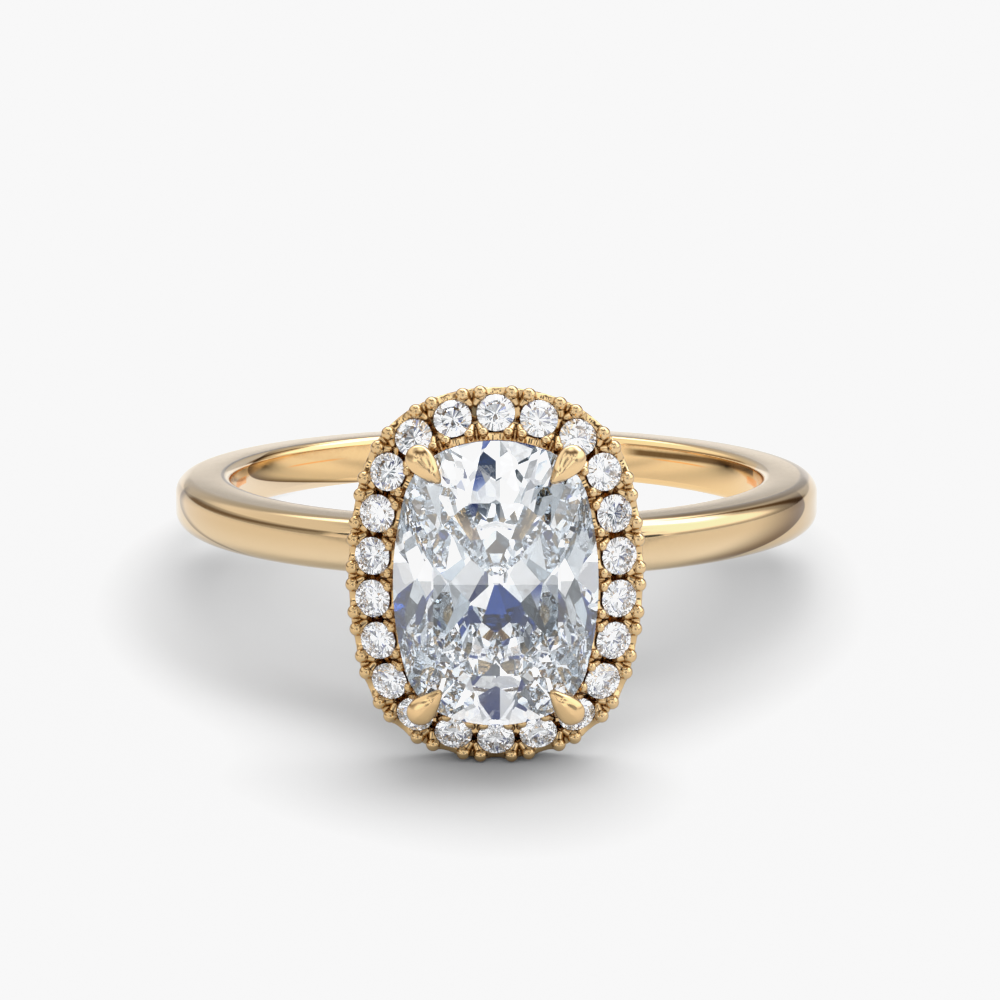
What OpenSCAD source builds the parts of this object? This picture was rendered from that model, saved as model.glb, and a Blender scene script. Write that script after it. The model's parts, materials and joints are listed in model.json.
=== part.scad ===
// Halo ring: a cushion-cut stone in four claws, ringed by small round stones,
// on a plain band. The ring lies on its side, as it comes to rest on a table.
// Millimetres. The origin is the centre of the finger hole, +Z is up and the
// head with its stones points to -Y.

/* [Band] */
// Radius of the finger hole
finger_r = 8.25; // [7.5:0.05:9.5]
// Thickness of the band, from the finger to its outer face
band_t = 1.7; // [1.4:0.05:2.1]
// Width of the band along the finger
band_w = 1.54; // [1.3:0.02:2]
// Rounding of the band's outer edges
outer_round = 0.5; // [0.3:0.05:0.6]
// Rounding of the band's inner edges
inner_round = 0.25; // [0.15:0.05:0.35]

/* [Centre stone] */
// Width of the centre stone at its girdle
stone_w = 5.36; // [4.9:0.02:5.9]
// Length of the centre stone at its girdle
stone_l = 7.56; // [6.9:0.02:8.3]
// Radius of the two long sides of its outline
side_r = 8.9; // [8:0.1:10.5]
// Radius of the four corners of its outline
corner_r = 1.8; // [1.6:0.05:2]
// Radius of the two short ends of its outline
end_r = 3.5; // [3.1:0.05:4]
// Height of the crown above the girdle
crown_h = 0.78; // [0.6:0.02:0.95]
// Depth of the pavilion below the girdle
pavilion_h = 2.45; // [2.1:0.05:2.8]
// Thickness of the girdle
girdle_t = 0.1; // [0.06:0.01:0.14]
// Share of the outline that the flat table keeps
table_share = 0.6; // [0.52:0.01:0.66]

/* [Halo] */
// Diameter of a halo stone
melee_d = 1; // [0.9:0.02:1.1]
// Smallest gap between two halo stones
melee_gap = 0.13; // [0.11:0.01:0.18]
// Gap that shows between the centre stone's outline and the halo stones
halo_gap = 0.1; // [0.06:0.01:0.2]
// Outward lean of the halo stones in degrees
halo_lean = 25; // [18:1:30]
// Height of the centre stone's girdle above the halo stones' girdles
girdle_rise = 0.9; // [0.8:0.05:1.2]
// Height of the halo stones' girdles above the band's outer face
head_rise = 3.3; // [3.1:0.05:4]
// Depth of the halo's walls below its stones' girdles
halo_depth = 0.85; // [0.8:0.05:1.2]
// Thickness of the floor between the halo's walls
halo_floor = 0.25; // [0.2:0.01:0.35]
// Width of the channel between the halo's walls
channel_w = 0.76; // [0.7:0.02:0.82]
// Thickness of the halo's outer wall
outer_wall = 0.2; // [0.16:0.01:0.32]
// Thickness of the halo's inner wall, which the claws are soldered to
inner_wall = 0.37; // [0.32:0.01:0.45]

/* [Beads] */
// Radius of a bead on the outer wall
outer_bead_r = 0.165; // [0.13:0.005:0.18]
// Radius of a bead on the inner wall
inner_bead_r = 0.125; // [0.1:0.005:0.13]
// Distance between the two beads of a pair on the outer wall
outer_pair = 0.46; // [0.4:0.01:0.5]
// Distance between the two beads of a pair on the inner wall
inner_pair = 0.36; // [0.3:0.01:0.38]
// Gap between a bead and the stone that it holds
bead_gap = 0.02; // [0.01:0.005:0.05]

/* [Claws and basket] */
// Radius of a claw's rod
rod_r = 0.33; // [0.28:0.01:0.36]
// Direction of a claw across the stone's corner, in degrees from its side
claw_turn = 48; // [42:1:56]
// How far a claw's tip reaches over the stone's edge
claw_reach = 0.58; // [0.45:0.01:0.75]
// Radius of a claw's tip
claw_tip_r = 0.09; // [0.07:0.01:0.12]
// Side of the square gallery rail under the centre stone
rail_t = 0.5; // [0.4:0.02:0.6]
// Distance from the stone's outline in to the gallery rail's middle
rail_inset = 0.84; // [0.75:0.01:0.95]
// Depth of the gallery rail below the halo stones' girdles
rail_drop = 1; // [0.85:0.05:1.2]
// Distance between the feet of two claws along the band
foot_spread = 1.5; // [1.2:0.05:1.8]
// Distance between the feet of two claws across the band
foot_across = 0.72; // [0.6:0.02:0.8]
// Gap between a stone and its metal seat
seat_gap = 0.03; // [0.02:0.005:0.05]

/* [Hidden] */
// Steps in a rounding, points on the stone's outline and on the halo's walls,
// and facets of the drawn circles
round_steps = 8;
outline_steps = 64;
wall_steps = 96;
$fn = 96;
claw_fn = 16;

band_r = finger_r + band_t;
half_w = stone_w / 2;
half_l = stone_l / 2;
melee_r = melee_d / 2;

// The outline is arcs that touch. These are the centres of a quarter's three
// arcs and the directions in which its corner arc starts and ends.
side_c = half_w - side_r;
end_c = half_l - end_r;
centre_line = norm([side_c, end_c]);
along = ((side_r - corner_r)^2 - (end_r - corner_r)^2 + centre_line^2) / (2 * centre_line);
aside = sqrt((side_r - corner_r)^2 - along^2);
corner_c = [
    side_c + (-side_c * along - end_c * aside) / centre_line,
    (end_c * along - side_c * aside) / centre_line
];
corner_from = atan2(corner_c[1], corner_c[0] - side_c);
corner_to = atan2(corner_c[1] - end_c, corner_c[0]);

function radians(a) = a * PI / 180;
function degrees(a) = a * 180 / PI;
// Brings any direction into the first quarter, because the outline is
// symmetric about both of its axes
function folded(a) = let (b = abs(a) % 180) b > 90 ? 180 - b : b;
function arc_of(a) = a < corner_from ? [[side_c, 0], side_r]
    : a < corner_to ? [corner_c, corner_r] : [[0, end_c], end_r];
function toward(a) = [cos(a), sin(a)];
// How far the outline reaches in a direction
function cushion_reach(a) = let (f = folded(a), arc = arc_of(f))
    arc[0] * toward(f) + arc[1];
// The point whose outward direction is a, moved out by grow
function cushion_point(a, grow = 0) =
    let (f = folded(a), arc = arc_of(f), p = arc[0] + (arc[1] + grow) * toward(f))
    [cos(a) < 0 ? -p[0] : p[0], sin(a) < 0 ? -p[1] : p[1]];

// The line that the halo stones' centres follow
path_grow = halo_gap + melee_r;
end_len = (end_r + path_grow) * radians(90 - corner_to);
corner_len = (corner_r + path_grow) * radians(corner_to - corner_from);
side_len = (side_r + path_grow) * radians(corner_from);
quarter_len = end_len + corner_len + side_len;
halo_count = 2 * floor(2 * quarter_len / (melee_d + melee_gap));
pitch = 4 * quarter_len / halo_count;

// Outward direction at a distance along a quarter of that line, from the top
function quarter_turn(s) =
    s < end_len ? 90 - degrees(s / (end_r + path_grow))
    : s < end_len + corner_len
        ? corner_to - degrees((s - end_len) / (corner_r + path_grow))
    : corner_from - degrees((s - end_len - corner_len) / (side_r + path_grow));
// The same along the whole line
function path_turn(s) =
    let (q = floor(s / quarter_len + 1e-9), t = s - q * quarter_len,
         a = quarter_turn(q % 2 == 0 ? t : quarter_len - t))
    q % 4 == 0 ? a : q % 4 == 1 ? -a : q % 4 == 2 ? 180 + a : 180 - a;

// Proportions of a halo stone
melee_crown = 0.16 * melee_d;
melee_pavilion = 0.42 * melee_d;
melee_girdle = 0.03 * melee_d;
melee_sides = 16;
mains = 8;

// Facet directions of the centre stone: sides, ends and corners, then the
// pairs of smaller facets beside each
main_turns = [for (k = [0, 180]) each [k, k + claw_turn, k + 90, k + 180 - claw_turn]];
function between(turns, share) = [
    for (k = [0:len(turns) - 1])
        turns[k] + share * ((turns[(k + 1) % len(turns)] - turns[k] + 360) % 360)
];
star_turns = between(main_turns, 1 / 2);
half_share = 1 / 4;
// How near the centre the smaller facets reach, as a share of the outline
crown_half_to = 0.8;
pavilion_half_to = 0.3;
star_table = 0.62;
star_slope_share = 0.62;

// Beads sit on the walls, just outside the stones that they hold
wall_sink = 0.03;
bead_rise = 0.05;
inner_bead_rise = 0.15;
outer_bead_p = bead_place(outer_bead_r, outer_pair, 1);
inner_bead_p = bead_place(inner_bead_r, inner_pair, (corner_r + halo_gap) / (corner_r + path_grow));
// Distance across the rail at which a bead of a pair clears the stone beside
// it. At the corners the inner side of the halo is squeezed.
function bead_place(r, pair, squeeze) =
    sqrt((melee_r + bead_gap + r)^2 - (squeeze * pitch / 2 - pair / 2)^2);
stem_share = 0.72;
stem_len = 0.55;

outer_face = channel_w / 2 + outer_wall;
inner_face = -channel_w / 2 - inner_wall;
outer_top = -(channel_w + outer_wall) / 2 * tan(halo_lean) - wall_sink;
inner_top = (channel_w + inner_wall) / 2 * tan(halo_lean) - wall_sink;
drill_r = 0.5 * melee_r;
scallop_r = 0.72 * melee_r;
scallop_rise = 0.12;

// Distance from the finger hole's axis to the halo stones' girdles
head_y = band_r + head_rise;

// A claw's round base stands outside the stone, its back is fullest near the
// edge, and its tip clears the crown by two seat gaps
claw_base_grow = 0.24;
claw_base_rise = 0.2;
claw_back_share = 0.2;
claw_back_r = 0.24;
crown_slope = crown_h / (1 - table_share);
claw_tip_z = girdle_rise + girdle_t / 2 + claw_tip_r + 2 * seat_gap
    + crown_slope * claw_reach / norm(cushion_point(claw_turn));
// The ball that fills the bend of a rod, and how deep its foot is soldered in
knuckle = 0.02;
foot_sink = 0.5;
// Side of the blocks that lap the facets, and how far a cut goes past a face
cut_size = 2 * stone_l;
spare = 0.5;

// The ring rests on the band's back edge and the lowest beads. Both are
// circles when seen from the side, and the table touches both.
gap_turn = path_turn(2 * quarter_len - pitch / 2);
bead_out = outer_bead_p * cos(halo_lean) + bead_rise * sin(halo_lean);
bead_z = bead_rise * cos(halo_lean) - outer_bead_p * sin(halo_lean);
bead_low = cushion_point(gap_turn, path_grow + bead_out)[1]
    - outer_pair / 2 * abs(cos(gap_turn));
back = [band_r - outer_round, -(band_w / 2 - outer_round)];
front = [-(head_y + bead_z), bead_low];
span = back - front;
rest_tilt = atan2(span[1], span[0]) + asin((outer_bead_r - outer_round) / norm(span));

function stone_name(k) = str("halo_stone_", k < 9 ? "0" : "", k + 1);

// Turns the ring from its own axes to the way it lies on the table
module lying() {
    rotate([-rest_tilt, 0, 0]) children();
}

// Places the head's own frame: +Z out of the stones, +Y along the finger
module on_head() {
    translate([0, -head_y, 0]) rotate([90, 0, 0]) children();
}

// Places a thing on the halo's line, leaning out with its stones
module on_path(s) {
    turn = path_turn(s);
    place = cushion_point(turn, path_grow);
    translate([place[0], place[1], 0])
        rotate([0, 0, turn])
            rotate([0, halo_lean, 0]) children();
}

// A ring that follows the outline, between two distances outside it and
// between two heights
module outline_ring(inside, outside, low, high) {
    function ring(grow) = [for (k = [0:wall_steps - 1]) cushion_point(k * 360 / wall_steps, grow)];
    translate([0, 0, low]) linear_extrude(high - low) difference() {
        polygon(ring(outside));
        polygon(ring(inside));
    }
}

// A straight round rod between two points
module rod(from, to, r) {
    d = to - from;
    translate(from)
        rotate([0, acos(d[2] / norm(d)), atan2(d[1], d[0])])
            cylinder(r = r, h = norm(d));
}

// What a lap takes off beyond a facet: turn is its direction, slope its
// steepness, and it passes at height z through the line at distance reach
module lapped(turn, slope, reach, z) {
    up = z < 0 || slope < 0 ? 180 + slope : slope;
    rotate([0, up, turn])
        translate([-cut_size / 2, -cut_size / 2, reach * sin(abs(slope)) + abs(z) * cos(slope)])
            cube(cut_size);
}

// The slope of a smaller facet that leaves the girdle at turn and meets the
// main facet beside it where the outline is shrunk to the share to
function half_slope(turn, main, rise, to) =
    let (p = cushion_point(turn), m = cushion_reach(main))
    atan((m - to * (p * toward(main))) * rise / (cushion_reach(turn) * (1 - to)));

// The cushion-cut stone, with its girdle's middle at z 0. grow widens it all
// round, which makes the room that the claws leave for it.
module cushion_cut(grow = 0) {
    top = girdle_t / 2 + grow;
    difference() {
        translate([0, 0, -pavilion_h - top])
            linear_extrude(pavilion_h + crown_h + 2 * top)
                polygon([for (k = [0:outline_steps - 1]) cushion_point(k * 360 / outline_steps, grow)]);
        for (m = main_turns) {
            reach = cushion_reach(m);
            lapped(m, atan(crown_h / (reach * (1 - table_share))), reach + grow, top);
            lapped(m, -atan(pavilion_h / reach), reach + grow, -top);
        }
        for (k = [0:len(main_turns) - 1], side = [half_share, 1 - half_share]) {
            turn = between(main_turns, side)[k];
            main = side < 1 / 2 ? main_turns[k] : main_turns[(k + 1) % len(main_turns)];
            reach = cushion_reach(turn);
            crown_rise = crown_h / (cushion_reach(main) * (1 - table_share));
            lapped(turn, half_slope(turn, main, crown_rise, crown_half_to), reach + grow, top);
            lapped(turn, -half_slope(turn, main, pavilion_h / cushion_reach(main),
                pavilion_half_to), reach + grow, -top);
        }
        for (s = star_turns) {
            reach = cushion_reach(s);
            slope = atan(star_slope_share * crown_h / (reach * (1 - table_share)));
            lapped(s, slope, star_table * reach + grow, top + crown_h);
        }
    }
}

// A round brilliant for the halo, with its girdle's middle at z 0
module round_cut() {
    top = melee_girdle / 2;
    difference() {
        translate([0, 0, -melee_pavilion - top])
            linear_extrude(melee_pavilion + melee_crown + 2 * top)
                polygon([for (k = [0:melee_sides - 1])
                    melee_r * toward((k + 1 / 2) * 360 / melee_sides)]);
        for (k = [0:mains - 1]) {
            turn = k * 360 / mains;
            lapped(turn, atan(melee_crown / (melee_r * (1 - table_share))), melee_r, top);
            lapped(turn, -atan(melee_pavilion / melee_r), melee_r, -top);
        }
    }
}

// The plain band. Its bore is straight between the inner roundings.
module band() {
    corners = [
        [band_r, 1, outer_round, 0], [finger_r, 1, inner_round, 90],
        [finger_r, -1, inner_round, 180], [band_r, -1, outer_round, 270]
    ];
    color("goldenrod") rotate_extrude()
        polygon([
            for (c = corners, k = [0:round_steps])
                let (a = c[3] + 90 * k / round_steps, r = c[2],
                     x = c[0] + (c[0] == band_r ? -r : r))
                [x + r * cos(a), c[1] * (band_w / 2 - r) + r * sin(a)]
        ]);
}

// The room for one halo stone: a seat, its cone and a drilled hole below,
// and the scallop that opens both walls beside it
module stone_seat() {
    r = melee_r + seat_gap;
    below = melee_girdle / 2 + seat_gap;
    rotate_extrude() polygon([
        [0, -2 * halo_depth], [drill_r, -2 * halo_depth],
        [drill_r, -below - (1 - drill_r / r) * melee_pavilion],
        [r, -below], [r, melee_r], [0, melee_r]
    ]);
    translate([-2 * melee_d, 0, scallop_rise])
        rotate([0, 90, 0]) cylinder(r = scallop_r, h = 4 * melee_d);
}

// The halo: a channel between two walls, with a seat for each stone. The
// walls are as far apart in height as the stones' lean asks.
module halo() {
    color("goldenrod") difference() {
        outline_ring(path_grow + inner_face, path_grow + outer_face, -halo_depth, inner_top);
        outline_ring(path_grow, path_grow + outer_face + spare, outer_top, inner_top + spare);
        outline_ring(path_grow - channel_w / 2, path_grow + channel_w / 2,
            halo_floor - halo_depth, inner_top + spare);
        for (k = [0:halo_count - 1]) on_path(k * pitch) stone_seat();
    }
}

// One bead on its short stem
module bead(across, along, rise, r) {
    translate([across, along, rise]) {
        sphere(r = r);
        translate([0, 0, -stem_len]) cylinder(r = stem_share * r, h = stem_len);
    }
}

// Four beads at each gap between two stones, a pair on either wall
module beads() {
    color("goldenrod")
        for (k = [0:halo_count - 1], side = [-1, 1]) on_path((k + 1 / 2) * pitch) {
            bead(outer_bead_p, side * outer_pair / 2, bead_rise, outer_bead_r);
            bead(-inner_bead_p, side * inner_pair / 2, inner_bead_rise, inner_bead_r);
        }
}

// One claw with its rod: from the tip over the corner, down past the halo to
// the gallery rail, and in to its foot on the band
module claw(turn) {
    function at(grow, z) = let (p = cushion_point(turn, grow)) [p[0], p[1], z];
    base = at(claw_base_grow, girdle_rise + claw_base_rise);
    elbow = at(-rail_inset, -rail_drop);
    foot = [
        sign(cos(turn)) * foot_spread / 2, sign(sin(turn)) * foot_across / 2,
        -head_rise - foot_sink
    ];
    hull() {
        translate(base) sphere(r = rod_r, $fn = claw_fn);
        translate(at(-claw_back_share * claw_reach, claw_tip_z - claw_tip_r))
            sphere(r = claw_back_r, $fn = claw_fn);
        translate(at(-claw_reach, claw_tip_z)) sphere(r = claw_tip_r, $fn = claw_fn);
    }
    rod(elbow, base, rod_r);
    translate(elbow) sphere(r = rod_r + knuckle);
    rod(foot, elbow, rod_r);
}

// The claws at the four corners, notched for the centre stone
module claws() {
    color("goldenrod") difference() {
        for (turn = [claw_turn, 180 - claw_turn, 180 + claw_turn, -claw_turn]) claw(turn);
        translate([0, 0, girdle_rise]) cushion_cut(seat_gap);
    }
}

// The rail that ties the claws together below the centre stone
module gallery_rail() {
    color("goldenrod") outline_ring(
        -rail_inset - rail_t / 2, -rail_inset + rail_t / 2,
        -rail_drop - rail_t / 2, -rail_drop + rail_t / 2
    );
}

// All the metal, soldered into one
module setting() {
    lying() {
        band();
        on_head() {
            halo();
            beads();
            claws();
            gallery_rail();
        }
    }
}

module centre_stone() {
    color("azure") lying() on_head() translate([0, 0, girdle_rise]) cushion_cut();
}

module halo_stone(k) {
    color("azure") lying() on_head() on_path(k * pitch) round_cut();
}

setting();
centre_stone();
for (k = [0:halo_count - 1])
    halo_stone(k);
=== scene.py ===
# %% [markdown]
# Halo ring
# This notebook dresses a finished metal-and-stone model of a ring for a studio
# picture. The ring lies on its side on a pale table. A cushion-cut stone sits in
# four claws, small round stones run round it, and the band is plain and polished.
# The fixed model gives every size and place. Here each part gets its finer shape
# and its finish.

# %% Load the fixed model
import json
import math
import random
from types import SimpleNamespace

import bmesh
import bpy
from mathutils import Matrix, Vector


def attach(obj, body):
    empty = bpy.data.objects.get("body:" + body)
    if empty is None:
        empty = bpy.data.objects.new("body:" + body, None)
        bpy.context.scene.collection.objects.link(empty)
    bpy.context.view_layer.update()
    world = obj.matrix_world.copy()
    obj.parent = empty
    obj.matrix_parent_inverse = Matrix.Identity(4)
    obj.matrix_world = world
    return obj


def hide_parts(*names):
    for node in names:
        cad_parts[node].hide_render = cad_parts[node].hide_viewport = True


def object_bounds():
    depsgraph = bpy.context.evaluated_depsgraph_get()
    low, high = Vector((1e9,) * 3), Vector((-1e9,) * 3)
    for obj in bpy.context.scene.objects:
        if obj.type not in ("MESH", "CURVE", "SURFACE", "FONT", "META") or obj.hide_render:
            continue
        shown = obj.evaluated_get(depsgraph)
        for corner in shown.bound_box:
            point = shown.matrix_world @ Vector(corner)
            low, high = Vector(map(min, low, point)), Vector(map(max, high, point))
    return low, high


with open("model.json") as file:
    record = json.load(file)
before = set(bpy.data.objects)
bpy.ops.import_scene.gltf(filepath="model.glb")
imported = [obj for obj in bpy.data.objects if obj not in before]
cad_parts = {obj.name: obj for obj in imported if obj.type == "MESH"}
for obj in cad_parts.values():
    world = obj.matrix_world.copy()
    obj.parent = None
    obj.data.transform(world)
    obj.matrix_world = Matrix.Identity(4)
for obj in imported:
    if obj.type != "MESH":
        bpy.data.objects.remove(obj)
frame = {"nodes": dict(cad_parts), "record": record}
cad_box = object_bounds()
print("parts in the fixed model:", len(frame["nodes"]))

# %% [markdown]
# Sizes
# A bench jeweller works in millimetres, so this notebook does too, and each mesh
# is scaled to metres once, when it is finished. The names are those of the sizes
# that a maker would ask for. Everything else could be typed in as well, but it is
# worked out from these few, so that one change carries through.

# %% Sizes in millimetres
MM = 0.001
FINGER_R = 8.25
BAND_T = 1.7
BAND_W = 1.54
OUTER_ROUND = 0.5
INNER_ROUND = 0.25

STONE_W = 5.36
STONE_L = 7.56
SIDE_R = 8.9
CORNER_R = 1.8
END_R = 3.5
CROWN_H = 0.78
PAVILION_H = 2.45
GIRDLE_T = 0.1
TABLE_SHARE = 0.6

MELEE_D = 1.0
HALO_COUNT = 22
HALO_GAP = 0.1
HALO_LEAN = 25
GIRDLE_RISE = 0.9
HEAD_RISE = 3.3
CLAW_TURN = 48

melee_r = MELEE_D / 2
band_r = FINGER_R + BAND_T
head_y = band_r + HEAD_RISE
path_grow = HALO_GAP + melee_r
print("the head stands", head_y, "mm from the finger's axis")

# %% [markdown]
# The lie of the ring
# The ring rests on its lowest beads and on the back of its band, so its axis
# leans. Every point could be turned by hand, but one matrix does it for a whole
# mesh. The fixed model says how far the finger hole leans, and two matrices carry
# points from the ring's own axes, and from the head's, to the table.

# %% The two sets of axes
hole = next(m for m in frame["record"]["mounts"] if m["name"] == "finger_hole")
rest_tilt = math.atan2(hole["axis"][1], hole["axis"][2])
LYING = Matrix.Scale(MM, 4) @ Matrix.Rotation(-rest_tilt, 4, "X")
HEAD = LYING @ Matrix.Translation((0, -head_y, 0)) @ Matrix.Rotation(math.pi / 2, 4, "X")
print("the ring leans", round(math.degrees(rest_tilt), 2), "degrees")

# %% [markdown]
# The stone's outline
# A cushion outline is eight arcs that touch: two long sides, two ends and four
# tight corners. It could be a curve object with handles. Here a point on it is
# found by the direction that it faces, because the halo, the rail and the stone
# can then all follow one outline, each at its own distance.

# %% The outline as arcs
side_c = STONE_W / 2 - SIDE_R
end_c = STONE_L / 2 - END_R
centres = math.hypot(side_c, end_c)
along = ((SIDE_R - CORNER_R) ** 2 - (END_R - CORNER_R) ** 2 + centres**2) / (2 * centres)
aside = math.sqrt((SIDE_R - CORNER_R) ** 2 - along**2)
corner_c = Vector((
    side_c + (-side_c * along - end_c * aside) / centres,
    (end_c * along - side_c * aside) / centres,
))
corner_from = math.degrees(math.atan2(corner_c.y, corner_c.x - side_c))
corner_to = math.degrees(math.atan2(corner_c.y - end_c, corner_c.x))


def toward(turn):
    a = math.radians(turn)
    return Vector((math.cos(a), math.sin(a)))


def folded(turn):
    turn = abs((turn + 180) % 360 - 180)
    return 180 - turn if turn > 90 else turn


def arc_of(turn):
    if turn < corner_from:
        return Vector((side_c, 0)), SIDE_R
    if turn < corner_to:
        return corner_c, CORNER_R
    return Vector((0, end_c)), END_R


def reach(turn):
    centre, r = arc_of(folded(turn))
    return centre.dot(toward(folded(turn))) + r


def outline(turn, grow=0.0):
    centre, r = arc_of(folded(turn))
    p = centre + (r + grow) * toward(folded(turn))
    d = toward(turn)
    return Vector((math.copysign(p.x, d.x), math.copysign(p.y, d.y)))


print("corner arcs run from", round(corner_from, 2), "to", round(corner_to, 2), "degrees")

# %% [markdown]
# The line of the halo stones
# The small stones sit at equal steps along a line outside the big one. Their
# seats lean outward, which spreads their sparkle and lets the halo fall away
# like a saucer. An array modifier on a curve could space them, but it can't say
# where a seat is, and the drills and beads need to know. So the length along the
# arcs is turned into a place.

# %% The line and a seat's own axes
end_len = (END_R + path_grow) * math.radians(90 - corner_to)
corner_len = (CORNER_R + path_grow) * math.radians(corner_to - corner_from)
side_len = (SIDE_R + path_grow) * math.radians(corner_from)
quarter = end_len + corner_len + side_len
pitch = 4 * quarter / HALO_COUNT


def quarter_turn(s):
    if s < end_len:
        return 90 - math.degrees(s / (END_R + path_grow))
    if s < end_len + corner_len:
        return corner_to - math.degrees((s - end_len) / (CORNER_R + path_grow))
    return corner_from - math.degrees((s - end_len - corner_len) / (SIDE_R + path_grow))


def path_turn(s):
    q, t = divmod(s, quarter)
    a = quarter_turn(quarter - t if q % 2 else t)
    return (a, -a, 180 + a, 180 - a)[int(q) % 4]


def on_path(steps):
    turn = path_turn(steps * pitch)
    spot = outline(turn, path_grow).to_3d()
    return (
        Matrix.Translation(spot)
        @ Matrix.Rotation(math.radians(turn), 4, "Z")
        @ Matrix.Rotation(math.radians(HALO_LEAN), 4, "Y")
    )


print("halo stones stand", round(pitch, 3), "mm apart")

# %% [markdown]
# Shader maths
# A finish is a small sum of noises and masks. Its nodes could be made and linked
# one by one, but a formula is easier to read. So this class lets a node's output
# be used like a number, and everything else, such as a noise or a colour mix,
# comes from one method.

# %% A socket that can be reckoned with
class Wire:
    def __init__(self, socket):
        self.socket = socket

    def math(self, operation, *others, first=True):
        node = self.socket.id_data.nodes.new("ShaderNodeMath")
        node.operation = operation
        terms = (self, *others) if first else (*others, self)
        for hole, term in zip(node.inputs, terms):
            plug(hole, term)
        return Wire(node.outputs[0])

    def __add__(self, other):
        return self.math("ADD", other)

    def __sub__(self, other):
        return self.math("SUBTRACT", other)

    def __rsub__(self, other):
        return self.math("SUBTRACT", other, first=False)

    def __mul__(self, other):
        return self.math("MULTIPLY", other)

    def __abs__(self):
        return self.math("ABSOLUTE")

    __radd__ = __add__
    __rmul__ = __mul__


def plug(hole, value):
    if isinstance(value, Wire):
        hole.id_data.links.new(value.socket, hole)
    else:
        hole.default_value = value


class Nodes:
    def __init__(self, owner):
        owner.use_nodes = True
        self.tree = owner.node_tree
        self.tree.nodes.clear()

    def add(self, kind, settings=None, inputs=None, out=0):
        node = self.tree.nodes.new("ShaderNode" + kind)
        for name, value in (settings or {}).items():
            setattr(node, name, value)
        for name, value in (inputs or {}).items():
            plug(node.inputs[name], value)
        return Wire(node.outputs[out]) if node.outputs else node

    def parts(self, vector):
        return (self.add("SeparateXYZ", {}, {"Vector": vector}, out=k) for k in range(3))

    def noise(self, spot, scale, detail):
        return self.add("TexNoise", {}, {"Vector": spot, "Scale": scale, "Detail": detail})

    def mix(self, mask, low, high):
        return self.add("Mix", {"data_type": "RGBA"}, {0: mask, 6: low, 7: high}, out=2)

    def smooth(self, value, low, high):
        return self.add(
            "MapRange",
            {"interpolation_type": "SMOOTHSTEP"},
            {"Value": value, "From Min": low, "From Max": high},
        )


print("shader maths ready")

# %% [markdown]
# Polished yellow gold
# The metal is a pale warm gold alloy, cast and then polished on felt wheels. The
# polish leaves a mirror with a faint haze, a soft waviness and a fine grain. A
# flat colour with one roughness would look like plastic film, so the roughness
# and the bump come from noises at those scales. Nooks get a painted shade: where
# an occlusion node finds them closed in, the colour is darkened toward brown. A
# noise's scale counts its cells in a metre.

# %% How gold is built up
PAINTED_DARK_BROWN = (0.3, 0.155, 0.05, 1)
WAVE_SCALE = 450.0
GRAIN_SCALE = 9000.0
TONE_SCALE = 160.0
TONE_FADE = (0.35, 0.65)
NOOK_FADE = (0.1, 0.8)
RIM_FADE = (0.4, 0.88)
GRAIN_FADE = (0.3, 0.8)
GRAIN_DEPTH = 0.06
GRAIN_HAZE = 0.05
WAVE_HAZE = 0.03
RELIEF_DEPTH = 0.00002


def gold_finish(name, haze, ripple, pale, deep, nook, painted_light=None, rim=0):
    made = bpy.data.materials.new(name)
    n = Nodes(made)
    spot = n.add("TexCoord", out=3)
    wave = n.noise(spot, WAVE_SCALE, 2.0)
    grain = n.noise(spot, GRAIN_SCALE, 3.0)
    tone = n.noise(spot, TONE_SCALE, 1.0)
    colour = n.mix(n.smooth(tone, *TONE_FADE), deep, pale)
    if painted_light:
        colour = painted_light(n, spot, colour)
    # Painted shade: where the occlusion node finds a nook closed in, the colour is darkened toward
    # a dark brown.
    open_sky = n.add("AmbientOcclusion", {"samples": 4}, {"Distance": nook}, out=1)
    colour = n.mix(n.smooth(open_sky, *NOOK_FADE), PAINTED_DARK_BROWN, colour)
    # Painted reflection: each form's colour is darkened toward its outline, as if its sides
    # mirrored darker metal round it.
    if rim:
        edge = n.add("LayerWeight", {}, {"Blend": 0.5}, out=1)
        colour = n.mix(n.smooth(edge, *RIM_FADE) * rim, colour, PAINTED_DARK_BROWN)
    relief = n.add(
        "Bump",
        {},
        {"Height": wave + grain * GRAIN_DEPTH, "Strength": ripple, "Distance": RELIEF_DEPTH},
    )
    roughness = haze + n.smooth(grain, *GRAIN_FADE) * GRAIN_HAZE + wave * WAVE_HAZE
    shader = n.add(
        "BsdfPrincipled",
        {},
        {"Base Color": colour, "Metallic": 1.0, "Roughness": roughness, "Normal": relief},
    )
    n.add("OutputMaterial", {}, {"Surface": shader})
    return made


print("gold's grain is", round(1 / (GRAIN_SCALE * MM), 2), "mm")

# %% [markdown]
# What the band's ends mirror
# A polished band shows the room: a brown line on its outside where each end nears
# the head, and on the right a darker tone behind it. Panels round the ring could
# make them, but a panel that serves one mark spoils the next. So each mark is
# painted into the colour at its place. Places are in the ring's own axes: out
# from the finger's axis and up along it in millimetres, and degrees around from
# the head. A pair of values says where a mark begins and where it is full.

# %% The lines at the ends
# The dark brown of the band's painted reflections.
PAINTED_BROWN_REFLECTION = (0.13, 0.065, 0.02, 1)
OUTSIDE = (9.6, 9.9)
END_LINE = 68
END_BENDS_BELOW = 0.3
END_BEND = 27
END_EDGE = (-0.4, 0.6)
RIGHT_TAIL = (22, 1)
LEFT_TAIL = (5, 1)
LEFT_SHIFT = 6.5
LEFT_SHARE = 0.7
BEYOND_EDGE = (0.2, -0.6)
BEYOND_END = (130, 100)


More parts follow.
